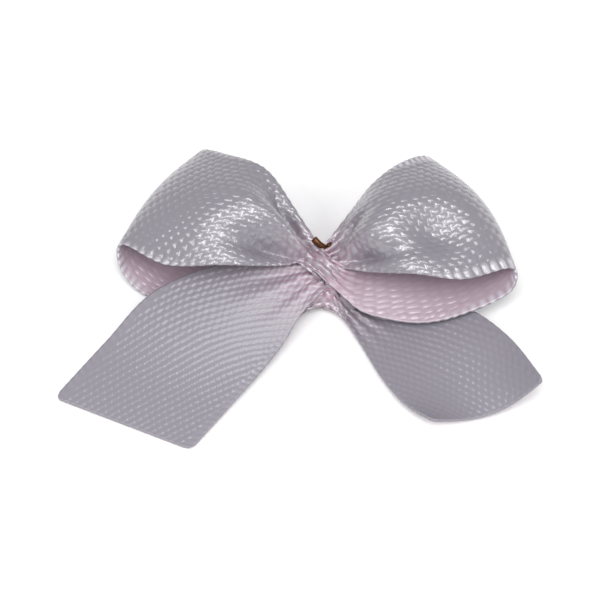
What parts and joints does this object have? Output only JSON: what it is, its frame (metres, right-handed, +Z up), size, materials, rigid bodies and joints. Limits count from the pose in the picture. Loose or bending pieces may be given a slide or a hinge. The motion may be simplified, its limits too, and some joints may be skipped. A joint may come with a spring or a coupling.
{
  "type": "ribbon hair bow",
  "caption": "Ready-tied satin ribbon hair bow with looped wings, slanting cut tails, gathered knot and thin tie wire.",
  "frame": {"origin": "middle of the flat back face of the knot, on the strap of tail ribbon behind the waist", "axes": "+X along the right loop, +Y towards the tops of the loops, +Z up through the knot, away from the flat back"},
  "size_m": [0.0334, 0.0221, 0.0066],
  "materials": {
    "satin_ribbon": "satin weave, soft sheen, pale pinkish lilac",
    "gathered_satin": "the same satin, gathered and shaded",
    "copper_wire": "dull copper-coloured wire"
  },
  "bodies": {
    "knot": {"loop_ribbon_waist": "gathered_satin", "tail_ribbon_waist": "gathered_satin", "knot_band": "gathered_satin", "tie_wire": "copper_wire"},
    "left_loop": {"left_loop": "satin_ribbon"},
    "left_tail": {"left_tail": "satin_ribbon"},
    "right_tail": {"right_tail": "satin_ribbon"},
    "right_loop": {"right_loop": "satin_ribbon"}
  },
  "joints": [
    {"name": "left_loop_flex", "type": "hinge", "parent": "knot", "child": "left_loop", "pos_m": [-0.0014, 0.0003, 0.002], "axis": [0.42, 0.9075, 0], "range_deg": [0, 12], "stiffness_Nm_per_rad": 0.00002},
    {"name": "left_tail_lift", "type": "hinge", "parent": "left_loop", "child": "left_tail", "pos_m": [-0.0014, -0.001, 0.0019], "axis": [-0.62, 0.7846, 0], "range_deg": [0, 18], "stiffness_Nm_per_rad": 0.00001},
    {"name": "right_tail_lift", "type": "hinge", "parent": "knot", "child": "right_tail", "pos_m": [0.0014, -0.0009, 0.0016], "axis": [-0.45, -0.893, 0], "range_deg": [0, 10], "stiffness_Nm_per_rad": 0.00002},
    {"name": "right_loop_flex", "type": "hinge", "parent": "right_tail", "child": "right_loop", "pos_m": [0.0014, 0.0004, 0.002], "axis": [0.26, -0.9656, 0], "range_deg": [0, 12], "stiffness_Nm_per_rad": 0.00002}
  ]
}
